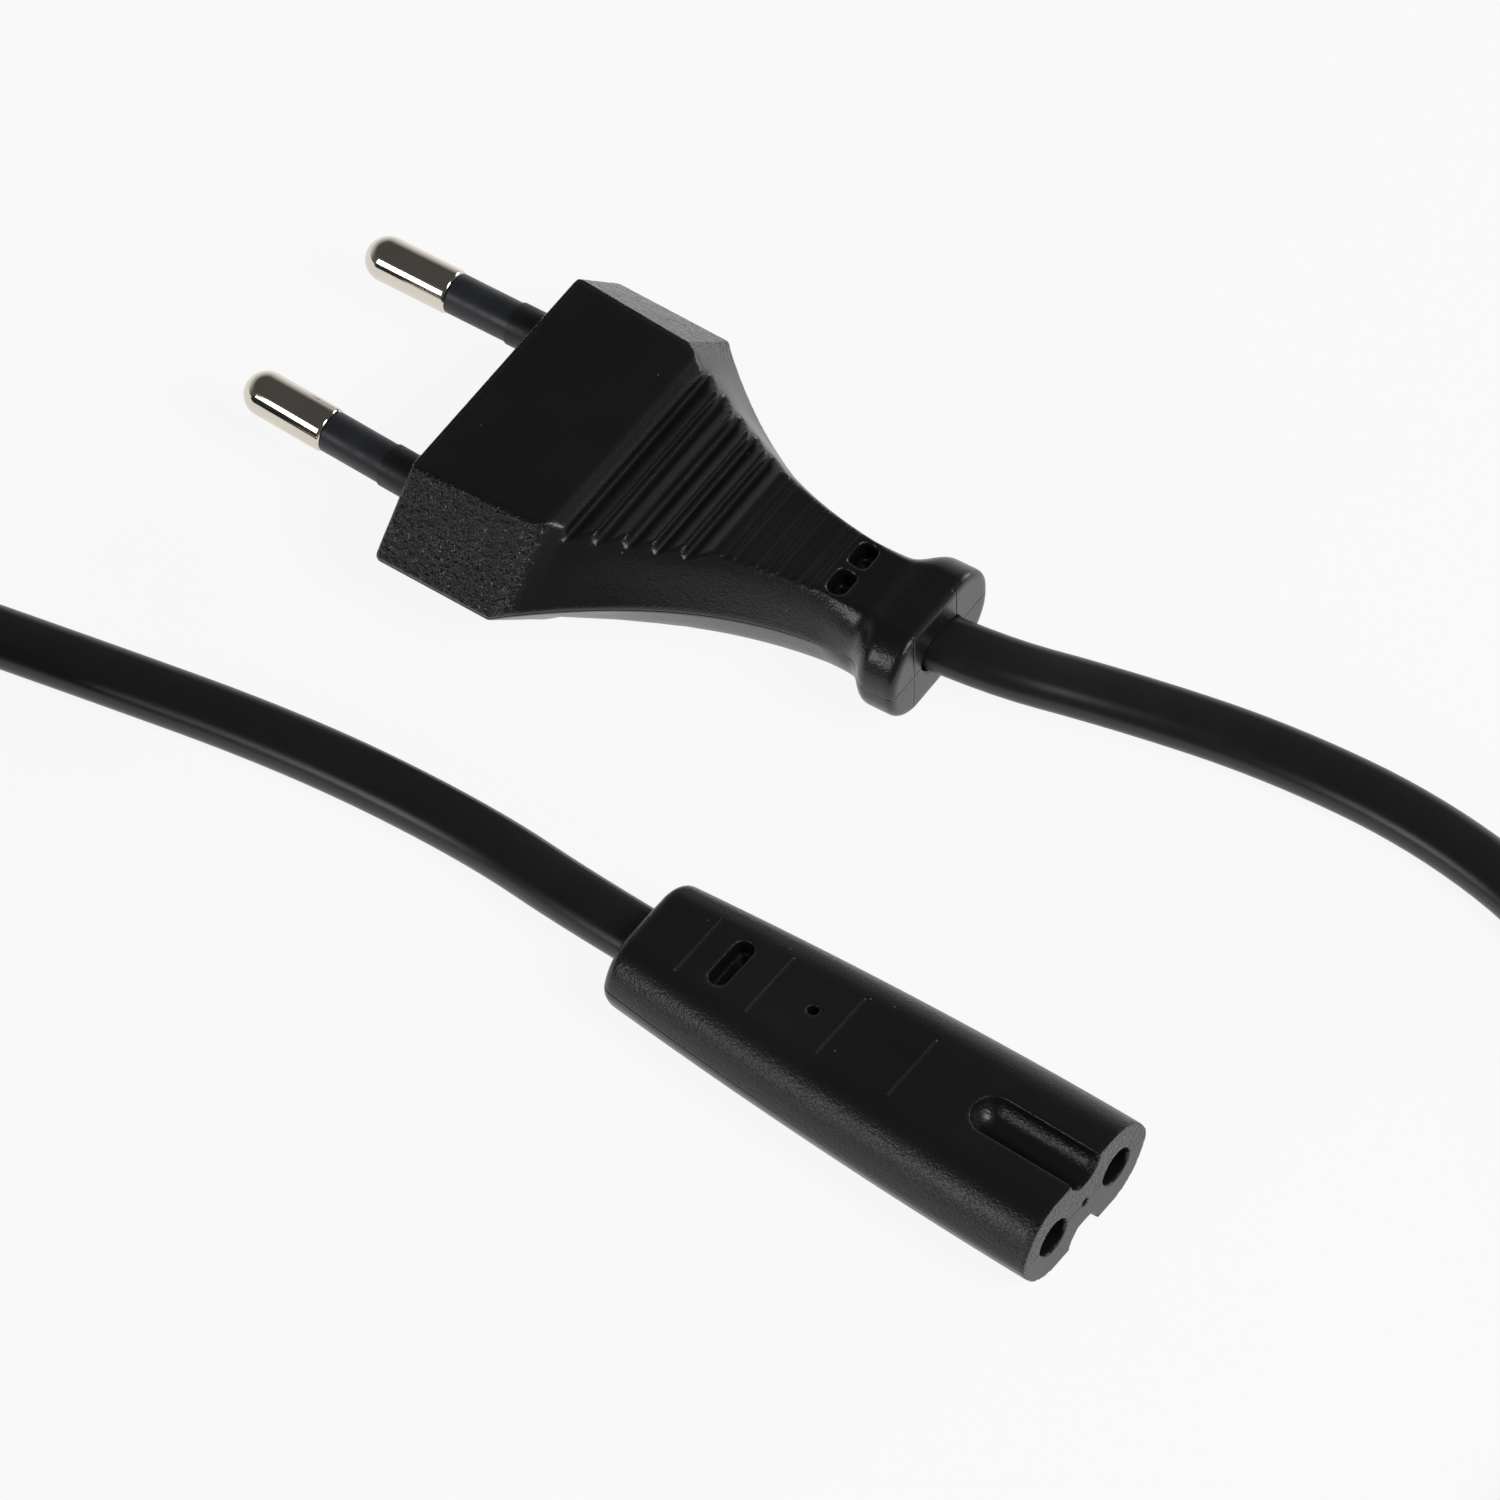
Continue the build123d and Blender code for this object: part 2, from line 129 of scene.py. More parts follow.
def plug_seams(tree, own):
    """Distance to the plug's hairlines: where the tool's halves meet, and on the collar's end
    face, where the core block that holds the cord stood."""
    parting = add_node(tree, "ShaderNodeMath", {"operation": "ABSOLUTE"}, {0: own.outputs["Z"]})
    across = add_node(tree, "ShaderNodeMath", {"operation": "ABSOLUTE"}, {0: own.outputs["Y"]})
    beside = add_node(tree, "ShaderNodeMath", {"operation": "SUBTRACT", 1: core_block_half * mm},
                      {0: across.outputs[0]})
    apart = add_node(tree, "ShaderNodeMath", {"operation": "ABSOLUTE"}, {0: beside.outputs[0]})
    short = add_node(tree, "ShaderNodeMath",
                     {"operation": "SUBTRACT", 0: (plug_length - 0.3) * mm},
                     {1: own.outputs["X"]})
    end_lines = add_node(tree, "ShaderNodeMath", {"operation": "MAXIMUM"},
                         {0: apart.outputs[0], 1: short.outputs[0]})
    return add_node(tree, "ShaderNodeMath", {"operation": "MINIMUM"},
                    {0: parting.outputs[0], 1: end_lines.outputs[0]})


def connector_seams(tree, own):
    """Distance to the connector's hairlines: where the tool's halves meet, and the four fine
    lines across its top."""
    parting = add_node(tree, "ShaderNodeMath", {"operation": "ABSOLUTE"}, {0: own.outputs["Z"]})
    along = add_node(tree, "ShaderNodeMath", {"operation": "SUBTRACT", 1: first_line * mm},
                     {0: own.outputs["X"]})
    nearest = add_node(tree, "ShaderNodeMath", {"operation": "PINGPONG", 1: line_pitch / 2 * mm},
                       {0: along.outputs[0]})
    across = add_node(tree, "ShaderNodeMath", {"operation": "ABSOLUTE"}, {0: own.outputs["Y"]})
    last = (line_count - 1) * line_pitch + line_margin
    limits = [
        add_node(tree, "ShaderNodeMath", {"operation": "SUBTRACT", 1: line_half * mm},
                 {0: across.outputs[0]}),
        add_node(tree, "ShaderNodeMath", {"operation": "SUBTRACT", 0: line_lowest * mm},
                 {1: own.outputs["Z"]}),
        add_node(tree, "ShaderNodeMath", {"operation": "SUBTRACT", 0: -line_margin * mm},
                 {1: along.outputs[0]}),
        add_node(tree, "ShaderNodeMath", {"operation": "SUBTRACT", 1: last * mm},
                 {0: along.outputs[0]})]
    line = nearest
    for limit in limits:
        line = add_node(tree, "ShaderNodeMath", {"operation": "MAXIMUM"},
                        {0: line.outputs[0], 1: limit.outputs[0]})
    return add_node(tree, "ShaderNodeMath", {"operation": "MINIMUM"},
                    {0: parting.outputs[0], 1: line.outputs[0]})


def moulded_pvc(name, looks, front, heading, seams, grain, coarse_length, past_share,
                roughness):
    """Injection-moulded soft PVC, nearly black. Its steel tool was spark-eroded on the sides,
    so they have a wrinkled grain with small glints. The grain is rubbed finer on the flat
    faces and on the lower half, and past coarse_length only past_share of it is left. The
    parts of the tool leave hairlines where they meet, and a few specks of dust stick."""
    tree, shader, material = new_material(name)
    place = object_place(tree)
    cloud = add_node(tree, "ShaderNodeTexNoise", {"Scale": 90.0, "Detail": 3.0}, {"Vector": place})
    shade = add_node(tree, "ShaderNodeMix", {"data_type": "RGBA", 6: linear(looks.moulding),
                                             7: linear(looks.moulding_light)},
                     {0: cloud.outputs["Fac"]})
    facing = add_node(tree, "ShaderNodeSeparateXYZ", links={
        "Vector": add_node(tree, "ShaderNodeTexCoord").outputs["Normal"]})
    upright = add_node(tree, "ShaderNodeMath", {"operation": "ABSOLUTE"}, {0: facing.outputs["Z"]})
    coarse = add_node(tree, "ShaderNodeMapRange",
                      {"From Min": 0.72, "From Max": 0.97, "To Min": 1.0, "To Max": 0.05},
                      {"Value": upright.outputs[0]})
    turned = add_node(tree, "ShaderNodeMapping",
                      {"vector_type": "TEXTURE", "Location": front * mm,
                       "Rotation": (0, 0, heading)}, {"Vector": place})
    own = add_node(tree, "ShaderNodeSeparateXYZ", links={"Vector": turned.outputs["Vector"]})
    past = add_node(tree, "ShaderNodeMapRange", {
        "From Min": (coarse_length - 0.8) * mm, "From Max": (coarse_length + 0.8) * mm,
        "To Min": 1.0, "To Max": past_share}, {"Value": own.outputs["X"]})
    upper = add_node(tree, "ShaderNodeMapRange", {"From Min": -0.3 * mm, "From Max": 0.1 * mm,
                                                  "To Min": 0.12, "To Max": 1.0},
                     {"Value": own.outputs["Z"]})
    wrinkle = add_node(tree, "ShaderNodeTexNoise",
                       {"Scale": 1 / grain, "Detail": 2.0, "Roughness": 0.55,
                        "Distortion": 0.6}, {"Vector": place})
    # the rubbed faces' own grain is about 0.05 mm, and is drawn at 0.2 mm so that it shows
    fine = add_node(tree, "ShaderNodeTexNoise", {"Scale": 1 / (0.2 * mm), "Detail": 1.0},
                    {"Vector": place})
    rubbed = add_node(tree, "ShaderNodeMath", {"operation": "MULTIPLY", 1: 0.055},
                      {0: fine.outputs["Fac"]})
    share = add_node(tree, "ShaderNodeMath", {"operation": "MULTIPLY"},
                     {0: coarse.outputs["Result"], 1: past.outputs["Result"]})
    share = add_node(tree, "ShaderNodeMath", {"operation": "MULTIPLY"},
                     {0: share.outputs[0], 1: upper.outputs["Result"]})
    grained = add_node(tree, "ShaderNodeMath", {"operation": "MULTIPLY_ADD"},
                       {0: wrinkle.outputs["Fac"], 1: share.outputs[0], 2: rubbed.outputs[0]})
    seam = add_node(tree, "ShaderNodeMapRange", {"From Min": 0.02 * mm, "From Max": 0.14 * mm,
                                                 "To Min": -0.3, "To Max": 0.0},
                    {"Value": seams(tree, own).outputs[0]})
    relief = add_node(tree, "ShaderNodeMath", {"operation": "ADD"},
                      {0: grained.outputs[0], 1: seam.outputs["Result"]})
    bump = add_node(tree, "ShaderNodeBump", {"Strength": 1.0, "Distance": looks.grain_height},
                    {"Height": relief.outputs[0]})
    tree.links.new(bump.outputs["Normal"], shader.inputs["Normal"])
    dust = add_node(tree, "ShaderNodeTexVoronoi", {"Scale": 1 / (2.6 * mm), "Randomness": 1.0},
                    {"Vector": place})
    speck = add_node(tree, "ShaderNodeMapRange", {"From Min": 0.02, "From Max": 0.035,
                                                  "To Min": 0.55, "To Max": 0.0},
                     {"Value": dust.outputs["Distance"]})
    dusty = add_node(tree, "ShaderNodeMix", {"data_type": "RGBA", 7: linear("#9a9a98")},
                     {0: speck.outputs["Result"], 6: shade.outputs[2]})
    tree.links.new(dusty.outputs[2], shader.inputs["Base Color"])
    wear = add_node(tree, "ShaderNodeMapRange",
                    {"From Min": 0.3, "From Max": 0.7, "To Min": roughness - 0.035,
                     "To Max": roughness + 0.035}, {"Value": cloud.outputs["Fac"]})
    glossed = add_node(tree, "ShaderNodeMath", {"operation": "MULTIPLY_ADD", 1: -0.1},
                       {0: share.outputs[0], 2: wear.outputs["Result"]})
    tree.links.new(glossed.outputs[0], shader.inputs["Roughness"])
    shader.inputs["IOR"].default_value = 1.53
    return material


def extruded_pvc(looks):
    """Extruded PVC sheath: satin, drawn smooth by the die, with faint lines along its length."""
    tree, shader, material = new_material("extruded_pvc_sheath")
    uv = add_node(tree, "ShaderNodeUVMap", {"uv_map": "along"}).outputs["UV"]
    lines = add_node(tree, "ShaderNodeMapping", {"Scale": (8.0, 60.0, 1.0)}, {"Vector": uv})
    drawn = add_node(tree, "ShaderNodeTexNoise", {"Scale": 4.0, "Detail": 3.0},
                     {"Vector": lines.outputs["Vector"]})
    place = object_place(tree)
    cloud = add_node(tree, "ShaderNodeTexNoise", {"Scale": 260.0, "Detail": 4.0}, {"Vector": place})
    shade = add_node(tree, "ShaderNodeMix", {"data_type": "RGBA", 6: linear(looks.sheath),
                                             7: linear(looks.sheath_light)},
                     {0: cloud.outputs["Fac"]})
    tree.links.new(shade.outputs[2], shader.inputs["Base Color"])
    bump = add_node(tree, "ShaderNodeBump", {"Strength": 0.25, "Distance": 0.03 * mm},
                    {"Height": drawn.outputs["Fac"]})
    tree.links.new(bump.outputs["Normal"], shader.inputs["Normal"])
    shader.inputs["Roughness"].default_value = 0.32
    shader.inputs["IOR"].default_value = 1.53
    return material


def satin_plastic(name, colour, roughness):
    """Plastic from a polished tool or die: even and satin, with faint handling marks."""
    tree, shader, material = new_material(name)
    place = object_place(tree)
    marks = add_node(tree, "ShaderNodeTexNoise", {"Scale": 700.0, "Detail": 4.0}, {"Vector": place})
    spread = add_node(tree, "ShaderNodeMapRange",
                      {"From Min": 0.35, "From Max": 0.65, "To Min": roughness - 0.05,
                       "To Max": roughness + 0.07}, {"Value": marks.outputs["Fac"]})
    tree.links.new(spread.outputs["Result"], shader.inputs["Roughness"])
    shader.inputs["Base Color"].default_value = linear(colour)
    bump = add_node(tree, "ShaderNodeBump", {"Strength": 0.3, "Distance": 0.01 * mm},
                    {"Height": marks.outputs["Fac"]})
    tree.links.new(bump.outputs["Normal"], shader.inputs["Normal"])
    shader.inputs["IOR"].default_value = 1.5
    return material


def nickel_plate():
    """Bright nickel plated on turned brass: warm white metal, a little uneven in its gloss."""
    tree, shader, material = new_material("nickel_plated_brass")
    place = object_place(tree)
    stain = add_node(tree, "ShaderNodeTexNoise", {"Scale": 300.0, "Detail": 4.0}, {"Vector": place})
    shade = add_node(tree, "ShaderNodeMix",
                     {"data_type": "RGBA", 6: linear("#cdc6ba"), 7: linear("#e4ddd1")},
                     {0: stain.outputs["Fac"]})
    tree.links.new(shade.outputs[2], shader.inputs["Base Color"])
    shader.inputs["Metallic"].default_value = 1.0
    spread = add_node(tree, "ShaderNodeMapRange", {"To Min": 0.05, "To Max": 0.14},
                      {"Value": stain.outputs["Fac"]})
    tree.links.new(spread.outputs["Result"], shader.inputs["Roughness"])
    return material


def plain_metal(name, colour, roughness):
    """Rolled or drawn bare metal inside the lead, with an even soft sheen."""
    tree, shader, material = new_material(name)
    stain = add_node(tree, "ShaderNodeTexNoise", {"Scale": 900.0, "Detail": 3.0},
                     {"Vector": object_place(tree)})
    tone = add_node(tree, "ShaderNodeMix",
                    {"data_type": "RGBA", 6: linear(colour), 7: [c * 0.8 for c in linear(colour)]},
                    {0: stain.outputs["Fac"]})
    tree.links.new(tone.outputs[2], shader.inputs["Base Color"])
    shader.inputs["Metallic"].default_value = 1.0
    shader.inputs["Roughness"].default_value = roughness
    return material


def only_material(piece, material):
    piece.data.materials.clear()
    piece.data.materials.append(material)


def select_only(piece):
    bpy.ops.object.select_all(action="DESELECT")
    piece.select_set(True)
    bpy.context.view_layer.objects.active = piece


def new_piece(name, mesh):
    piece = bpy.data.objects.new(name, mesh)
    bpy.context.scene.collection.objects.link(piece)
    return piece


def apply_all(piece):
    """Applies every modifier of a piece, in order."""
    select_only(piece)
    for modifier in list(piece.modifiers):
        bpy.ops.object.modifier_apply(modifier=modifier.name)


def softened_copy(node, name, front, heading, voxel, rounds):
    """A merged copy of a node with the small soft edges that a moulding has. It is remeshed in
    its end's own axes, so that the grooves run with the voxels."""
    piece = new_piece(name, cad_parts[node].data.copy())
    placed = Matrix.Translation(front * mm) @ Matrix.Rotation(heading, 4, "Z")
    piece.data.transform(placed.inverted())
    select_only(piece)
    bpy.ops.object.mode_set(mode="EDIT")
    bpy.ops.mesh.select_all(action="SELECT")
    bpy.ops.mesh.remove_doubles(threshold=weld)
    bpy.ops.object.mode_set(mode="OBJECT")
    skin = piece.modifiers.new("skin", "REMESH")
    skin.mode = "VOXEL"
    skin.voxel_size = voxel * mm
    soft = piece.modifiers.new("soft edges", "SMOOTH")
    soft.factor = 0.5
    soft.iterations = rounds
    apply_all(piece)
    piece.data.transform(placed)
    bpy.ops.object.shade_smooth()
    return piece


def front_of(exit_point, heading, length):
    return exit_point - length * Vector((math.cos(heading), math.sin(heading), 0))


def reshape(piece, front, heading, move):
    """Moves each vertex by a rule in the end's own axes: along it, across it and up, in mm."""
    along = Vector((math.cos(heading), math.sin(heading), 0))
    across = Vector((-along.y, along.x, 0))
    for vertex in piece.data.vertices:
        away = vertex.co / mm - front
        x, y, z = move(away.dot(along), away.dot(across), away.z)
        vertex.co = (front + along * x + across * y + Vector((0, 0, z))) * mm


def grip_lean(x):
    """How far the soft grip leans to its far side, pulled by the cord, at a distance along it."""
    along = max(0.0, x - lean_start) / (plug_length - lean_start)
    return lean_at_block + (lean_at_collar - lean_at_block) * along ** 1.6


def drawn_in(y, z, half, top_half, half_height, bulge):
    """A point of a bowed side, moved in so that the side runs flatter from the parting line to
    the top face. Points well inside the moulding stay."""
    rise = half_height - half_band
    up = min(max((abs(z) - half_band) / rise, 0.0), 1.0)
    bow = 4 * up * (1 - up) * bulge * ((half - top_half) ** 2 + rise ** 2) / rise
    skin = half + (top_half - half) * up + bow
    near = min(max((abs(y) / skin - 0.7) / 0.22, 0.0), 1.0)
    return y - math.copysign(bow * near * near * (3 - 2 * near), y)


def lean_grip(x, y, z):
    """The grip's flatter sides, and its lean."""
    if block_length < x < neck_station:
        share = (1 - (x - block_length) / (neck_station - block_length)) ** 2
        taper = max(0.0, (x - ramp_end) / (neck_station - ramp_end))
        fade = min(1.0, (x - block_length) / bulge_run, (neck_station - x) / 3)
        y = drawn_in(y, z, neck_half + (grip_start_half - neck_half) * share,
                     neck_top_half + (grip_start_top_half - neck_top_half) * share,
                     grip_half_height + (neck_half_height - grip_half_height) * taper,
                     grip_draw * grip_bulge * fade)
    return x, y + grip_lean(x), z


def settle_connector(x, y, z):
    """The connector's slim rear rests on the floor, and the ridges across its top are levelled,
    because they are drawn as hairlines."""
    share = min(max(x / connector_length, 0.0), 1.0)
    top = connector_top_front + (connector_top_rear - connector_top_front) * share ** 2
    if abs(y) < line_half + line_margin:
        z = min(z, top)
    half = connector_front_half + (connector_rear_half - connector_front_half) * share ** 2
    y = drawn_in(y, z, half, half * connector_flat_share, top, connector_draw * connector_bulge)
    return x, y * (1 - settle_shrink * share), z - settle_depth * share ** 1.3


def pin_metal(node, name):
    """A pin's turned metal with the small rounded shoulder where its sleeve starts."""
    piece = new_piece(name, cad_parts[node].data.copy())
    select_only(piece)
    bpy.ops.object.mode_set(mode="EDIT")
    bpy.ops.mesh.select_all(action="SELECT")
    bpy.ops.mesh.remove_doubles(threshold=weld)
    bpy.ops.mesh.select_all(action="DESELECT")
    bpy.ops.object.mode_set(mode="OBJECT")
    front = front_of(plug_exit, plug_heading, plug_length)
    along = Vector((math.cos(plug_heading), math.sin(plug_heading), 0))
    across = Vector((-along.y, along.x, 0))
    side = 1 if name.endswith("far") else -1
    lean = math.atan((pin_spacing - pin_tip_spacing) / 2 / pin_length)
    axis = along * math.cos(lean) + across * side * math.sin(lean)
    foot = front + across * side * pin_spacing / 2
    metal_start = pin_length - pin_metal_length
    rim = set()
    for vertex in piece.data.vertices:
        away = vertex.co / mm - foot
        run = away.dot(axis)
        if abs(run + metal_start) < 0.05 and abs((away - axis * run).length - pin_radius) < 0.05:
            rim.add(vertex.index)
    for edge in piece.data.edges:
        edge.select = edge.vertices[0] in rim and edge.vertices[1] in rim
    bpy.ops.object.mode_set(mode="EDIT")
    bpy.ops.mesh.select_mode(type="EDGE")
    bpy.ops.mesh.bevel(offset=pin_shoulder * mm, segments=5)
    bpy.ops.object.mode_set(mode="OBJECT")
    bpy.ops.object.shade_smooth_by_angle(angle=math.radians(35))
    return piece


class LeadSizes(bpy.types.PropertyGroup):
    """Sizes of the lead's pieces that a user would change."""

    cord_width: FloatProperty(name="Cord width", description="The flat cord's wide side",
                              default=5.5 * mm, unit="LENGTH")
    cord_thickness: FloatProperty(name="Cord thickness", description="The flat cord's thin side",
                                  default=3.4 * mm, unit="LENGTH")
    cord_length: FloatProperty(name="Cord length", description="Length from end to end",
                               default=1.5, unit="LENGTH")
    full_turns: IntProperty(name="Full turns", description="Whole turns in the hank", default=4)


class LeadLooks(bpy.types.PropertyGroup):
    """Colours and finishes of the lead."""

    moulding: StringProperty(name="Moulding", default="#101012",
                             description="Darkest colour of the mouldings' PVC, as sRGB hex")
    moulding_light: StringProperty(name="Moulding, light", default="#18181a",
                                   description="Lightest colour of the mouldings' PVC")
    sheath: StringProperty(name="Sheath", default="#171718",
                           description="Darkest colour of the cord's sheath")
    sheath_light: StringProperty(name="Sheath, light", default="#202021",
                                 description="Lightest colour of the cord's sheath")
    sleeve: StringProperty(name="Pin sleeve", default="#2b2d33",
                           description="Colour of the pins' insulating sleeves")
    grain: FloatProperty(name="Grain", description="Width of a wrinkle of the plug's grain",
                         default=0.42 * mm, unit="LENGTH")
    grain_height: FloatProperty(name="Grain height", description="Depth of the mouldings' grain",
                                default=0.42 * mm, unit="LENGTH")


def out_of_exit(exit_point, heading, distance, z, aside=0.0):
    return Vector((exit_point.x + distance * math.cos(heading) - aside * math.sin(heading),
                   exit_point.y + distance * math.sin(heading) + aside * math.cos(heading), z))


def hank_turn():
    """Points once round the hank's middle line, clockwise from its lowest point."""
    side_radius = ((waist_half_gap ** 2 + fold_offset ** 2 - fold_radius ** 2)
                   / (2 * (fold_radius - waist_half_gap)))
    centre = waist_half_gap + side_radius
    lean = math.atan2(fold_offset, centre)
    fold_span = math.pi + 2 * lean
    fold_steps, side_steps = 12, 6
    points = []
    for k in range(fold_steps // 2):
        a = -math.pi / 2 - fold_span * k / fold_steps
        points.append((fold_radius * math.cos(a), -fold_offset + fold_radius * math.sin(a)))
    for k in range(side_steps):
        a = -lean + 2 * lean * k / side_steps
        points.append((-centre + side_radius * math.cos(a), side_radius * math.sin(a)))
    for k in range(fold_steps):
        a = math.pi + lean - fold_span * k / fold_steps
        points.append((fold_radius * math.cos(a), fold_offset + fold_radius * math.sin(a)))
    for k in range(side_steps):
        a = math.pi - lean + 2 * lean * k / side_steps
        points.append((centre + side_radius * math.cos(a), side_radius * math.sin(a)))
    for k in range(fold_steps // 2):
        a = lean - fold_span * k / fold_steps
        points.append((fold_radius * math.cos(a), -fold_offset + fold_radius * math.sin(a)))
    return points


def hank_points(sizes):
    """The turns from the top layer down to the floor, each stepping down on the same side."""
    turn = hank_turn()
    thick = sizes.cord_thickness / mm
    top = thick * sizes.full_turns + thick / 2 + 0.1
    level_share = 0.533   # the share of a turn that lies level before it steps down
    count = len(turn)
    points = []
    for k in range(1, int(count * (sizes.full_turns + level_share))):
        lap, step = divmod(k / count, 1.0)
        fall = max(0.0, (step - level_share) / (1 - level_share))
        ease = fall * fall * (3 - 2 * fall)
        x, y = turn[k % count]
        points.append(hank_middle + Vector((x, y, top - thick * (lap + ease))))
    return points


def cord_route(sizes):
    """Control points from inside the plug to inside the connector: out of the plug and down to
    the floor, round to the hank behind, and back to the connector."""
    rest = 1.8   # the height at which the cord lies on the floor
    leaving = hank_middle.y - fold_offset - fold_radius
    plug_side = [
        out_of_exit(plug_exit, plug_heading, -10, plug_exit.z, grip_lean(34.0)),
        out_of_exit(plug_exit, plug_heading, 2.5, plug_exit.z, grip_lean(46.0)),
        (36.0, 5.9, 3.4), (48.8, 1.8, rest), (61.3, -5.8, rest),
        (71.7, -16.3, rest), (77.7, -30.8, rest), (78.7, -48.8, rest),
        (74.2, -65.8, rest), (62.7, -78.8, rest), (46.2, -83.8, rest),
        (26.2, -82.8, rest), (5.2, -80.3, rest), (-15.8, -81.3, rest),
        (-36.8, -79.8, 3.2), (-56.8, -81.0, 9.2),
        (hank_middle.x, leaving, 15.4)]
    connector_side = [
        (-50.5, 10.9, rest), (-31.8, 2.5, rest), (-17.1, -6.5, rest),
        out_of_exit(connector_exit, connector_heading, 5.5, connector_exit.z - 0.6),
        out_of_exit(connector_exit, connector_heading, -6, connector_exit.z - 0.3)]
    return [Vector(p) for p in plug_side] + hank_points(sizes) + [Vector(p) for p in connector_side]


def spline_line(points, name):
    """The smooth line of a NURBS spline through the route's control points, in metres."""
    curve = bpy.data.curves.new(name, "CURVE")
    curve.dimensions = "3D"
    spline = curve.splines.new("NURBS")
    spline.points.add(len(points) - 1)
    for control, p in zip(spline.points, points):
        control.co = (*(p * mm), 1.0)
    spline.order_u = 3
    spline.use_endpoint_u = True
    spline.resolution_u = 8
    carrier = bpy.data.objects.new(name, curve)
    line = [v.co.copy() for v in bpy.data.meshes.new_from_object(carrier).vertices]
    bpy.data.objects.remove(carrier)
    bpy.data.curves.remove(curve)
    return line


def flat_tube(name, line, width, thickness, around=20):
    """A closed flat oval tube along a line, its wide side kept level, with a UV map along it."""
    half_flat = (width - thickness) / 2
    section = []
    for k in range(around):
        a = 2 * math.pi * (k + 0.5) / around
        shift = half_flat if math.cos(a) > 0 else -half_flat
        section.append((shift + thickness / 2 * math.cos(a), thickness / 2 * math.sin(a)))
    mesh = bpy.data.meshes.new(name)
    build = bmesh.new()
    rings, run, along = [], 0.0, []
    for k, here in enumerate(line):
        forward = (line[min(k + 1, len(line) - 1)] - line[max(k - 1, 0)]).normalized()
        level = Vector((0, 0, 1)).cross(forward).normalized()
        rise = forward.cross(level)
        rings.append([build.verts.new(here + level * u + rise * v) for u, v in section])
        if k:
            run += (here - line[k - 1]).length
        along.append(run)
    layer = build.loops.layers.uv.new("along")
    for k in range(len(rings) - 1):
        for j in range(around):
            n = (j + 1) % around
            face = build.faces.new([rings[k][j], rings[k + 1][j], rings[k + 1][n], rings[k][n]])
            face.smooth = True
            spots = [(along[k], j), (along[k + 1], j), (along[k + 1], j + 1), (along[k], j + 1)]
            for loop, (u, v) in zip(face.loops, spots):
                loop[layer].uv = (u, v / around)
    build.faces.new(rings[0])
    build.faces.new(list(reversed(rings[-1])))
    bmesh.ops.recalc_face_normals(build, faces=build.faces)
    build.to_mesh(mesh)
    build.free()
    return new_piece(name, mesh)


def place_light(name, spot, target, size, power):
    """A rectangular softbox that faces the target."""
    light = bpy.data.lights.new(name, "AREA")
    light.shape = "RECTANGLE"
    light.size, light.size_y = size
    light.energy = power
    holder = bpy.data.objects.new(name, light)
    bpy.context.scene.collection.objects.link(holder)
    holder.location = target + spot
    holder.rotation_euler = (-spot).to_track_quat("-Z", "Y").to_euler()


def white_floor():
    """Seamless white paper, lit from below as in a light box, so that it shows white to the
    camera and in the pins, and the object's shadow on it stays faint."""
    tree, shader, material = new_material("white_paper")
    shader.inputs["Base Color"].default_value = linear("#f4f4f4")
    shader.inputs["Roughness"].default_value = 0.9
    shader.inputs["Specular IOR Level"].default_value = 0.0
    path = add_node(tree, "ShaderNodeLightPath")
    glow = add_node(tree, "ShaderNodeEmission", {"Color": linear("#ffffff"), "Strength": 1.0})
    camera_or_glossy = add_node(tree, "ShaderNodeMath", {"operation": "MAXIMUM"}, {
        0: path.outputs["Is Camera Ray"], 1: path.outputs["Is Glossy Ray"]})
    seen = add_node(tree, "ShaderNodeMath", {"operation": "MAXIMUM"}, {
        0: camera_or_glossy.outputs[0], 1: path.outputs["Is Transmission Ray"]})
    share = add_node(tree, "ShaderNodeMath", {"operation": "MULTIPLY", 1: 0.9},
                     {0: seen.outputs[0]})
    mixed = add_node(tree, "ShaderNodeMixShader", links={
        0: share.outputs[0], 1: shader.outputs["BSDF"], 2: glow.outputs[0]})
    output = next(n for n in tree.nodes if n.bl_idname == "ShaderNodeOutputMaterial")
    tree.links.new(mixed.outputs[0], output.inputs["Surface"])
    return material


class LEAD_OT_plug(bpy.types.Operator):
    """Plug moulding with the soft edges of a moulded part"""

    bl_idname = "lead.plug"
    bl_label = "Plug moulding"

    def execute(self, context):
        looks = context.scene.lead_looks
        front = front_of(plug_exit, plug_heading, plug_length)
        body = softened_copy("plug_body", "plug_moulding", front, plug_heading,
                             voxel=0.245, rounds=2)
        reshape(body, front, plug_heading, lean_grip)
        only_material(body, moulded_pvc(
            "spark_grained_pvc_plug", looks, front, plug_heading, plug_seams, grain=looks.grain,
            coarse_length=12.5, past_share=0.06, roughness=0.3))
        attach(body, "root")
        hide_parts("plug_body")
        return {"FINISHED"}


class LEAD_OT_connector(bpy.types.Operator):
    """Connector moulding with the soft edges of a moulded part"""

    bl_idname = "lead.connector"
    bl_label = "Connector moulding"

    def execute(self, context):
        looks = context.scene.lead_looks
        front = front_of(connector_exit, connector_heading, connector_length)
        body = softened_copy("connector_body", "connector_moulding", front, connector_heading,
                             voxel=0.2, rounds=2)
        reshape(body, front, connector_heading, settle_connector)
        only_material(body, moulded_pvc(
            "spark_grained_pvc_connector", looks, front, connector_heading, connector_seams,
            grain=looks.grain * 0.75, coarse_length=0.0, past_share=0.13, roughness=0.35))
        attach(body, "root")
        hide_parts("connector_body")
        return {"FINISHED"}


